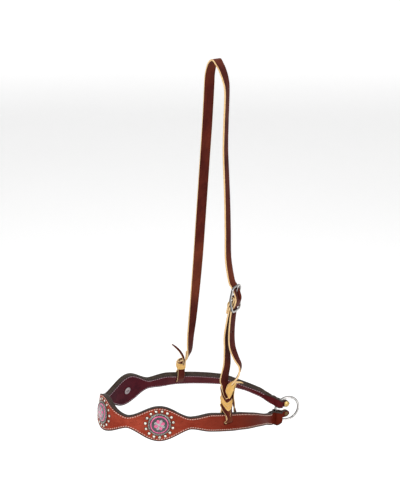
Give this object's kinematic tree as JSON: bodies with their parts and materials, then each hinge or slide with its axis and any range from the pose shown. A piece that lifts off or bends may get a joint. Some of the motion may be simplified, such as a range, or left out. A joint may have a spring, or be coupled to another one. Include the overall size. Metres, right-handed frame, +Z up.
{
  "type": "bridle noseband",
  "caption": "Scalloped leather noseband with silver conchos and spots, chin ring at the back, hung on a long adjustable crown strap with a centre-bar buckle.",
  "frame": {"origin": "underside of the crown bend, where the hanger rests on the poll or on a hook", "axes": "+Z up along the hanger, +X from the front of the nose back to the chin ring, -Y the near side with the buckle"},
  "size_m": [0.3537, 0.1879, 0.6163],
  "materials": {
    "buckle_nickel": "polished nickel",
    "concho_silver": "antique silver",
    "core_leather": "pale filler leather",
    "flesh_leather": "natural tan flesh side",
    "lining_leather": "dark maroon, smooth",
    "outer_leather": "russet, semi-gloss",
    "ring_nickel": "polished nickel",
    "screw_brass": "satin",
    "steel_back": "plain steel",
    "strap_leather": "dark brown grain"
  },
  "bodies": {
    "noseband": {"band_core": "core_leather", "band_lining": "lining_leather", "buckle_frame": "buckle_nickel", "buckle_screw": "screw_brass", "cheek_strap": "strap_leather", "concho_field_far": "concho_silver", "concho_field_front": "concho_silver", "concho_field_near": "concho_silver", "concho_rim_far": "concho_silver", "concho_rim_front": "concho_silver", "concho_rim_near": "concho_silver", "concho_screw_far": "steel_back", "concho_screw_front": "steel_back", "concho_screw_near": "steel_back", "crown_strap": "strap_leather", "far_hitch_low_strand": "flesh_leather", "far_hitch_tail": "flesh_leather", "far_hitch_top_strand": "strap_leather", "near_hitch_low_strand": "flesh_leather", "near_hitch_tail": "flesh_leather", "near_hitch_top_strand": "strap_leather", "outer_band": "outer_leather", "ring_screw_cap_far": "screw_brass", "ring_screw_cap_near": "screw_brass", "ring_screw_far": "screw_brass", "ring_screw_near": "screw_brass"},
    "ring": {"chin_ring": "ring_nickel"},
    "tongue": {"buckle_tongue": "buckle_nickel"}
  },
  "joints": [
    {"name": "ring_swing", "type": "hinge", "parent": "noseband", "child": "ring", "pos_m": [0.11675, 0, -0.5906], "axis": [0, 0, 1], "range_deg": [-20, 35]},
    {"name": "tongue_hinge", "type": "hinge", "parent": "noseband", "child": "tongue", "pos_m": [-0.0034, -0.0691, -0.342], "axis": [0.8572, 0.515, 0], "range_deg": [0, 30]}
  ]
}
